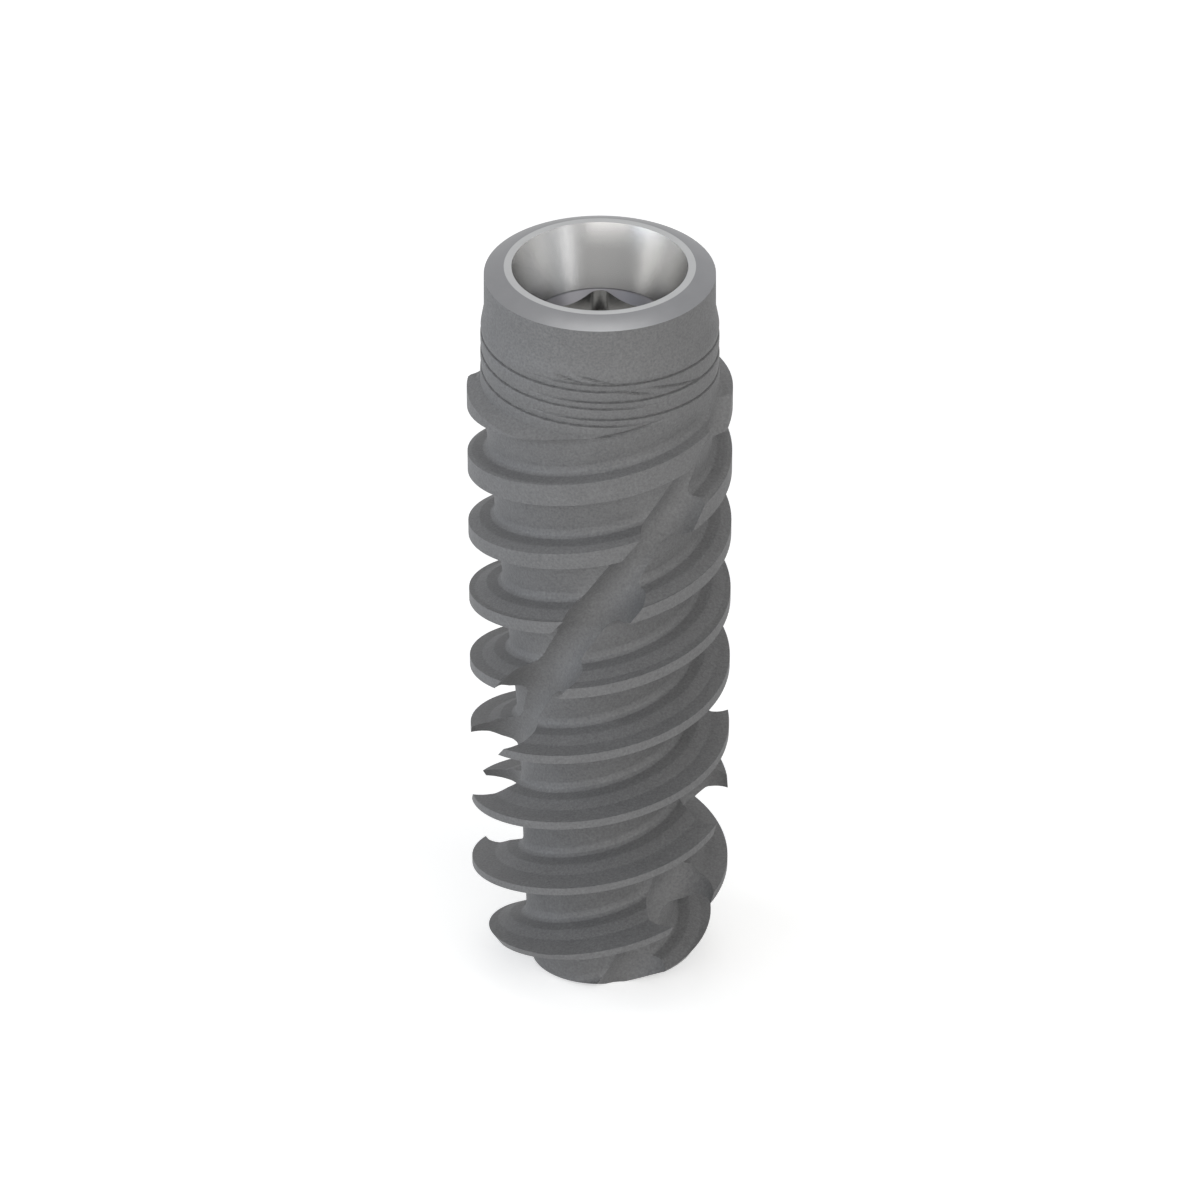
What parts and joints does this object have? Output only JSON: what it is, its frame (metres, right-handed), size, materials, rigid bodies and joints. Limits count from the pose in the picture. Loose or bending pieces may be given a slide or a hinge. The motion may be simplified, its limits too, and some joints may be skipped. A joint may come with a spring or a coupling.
{
  "type": "dental implant",
  "caption": "Tapered screw-shaped root implant with a double thread, two cutting flutes, a bevelled platform and a conical hexagon socket.",
  "frame": {"origin": "middle of the flat face at the apex, on the implant's axis", "axes": "+Z along the axis from the apex to the platform; +Y points away from the viewer of the picture, through a corner of the hexagon; +X to the viewer's right"},
  "size_m": [0.0044, 0.0042, 0.0128],
  "materials": {
    "titanium": "sandblasted matt grey titanium on the collar and thread, bright turned titanium on the platform, bevel and socket"
  },
  "bodies": {
    "root": {"implant_body": "titanium"}
  },
  "joints": []
}
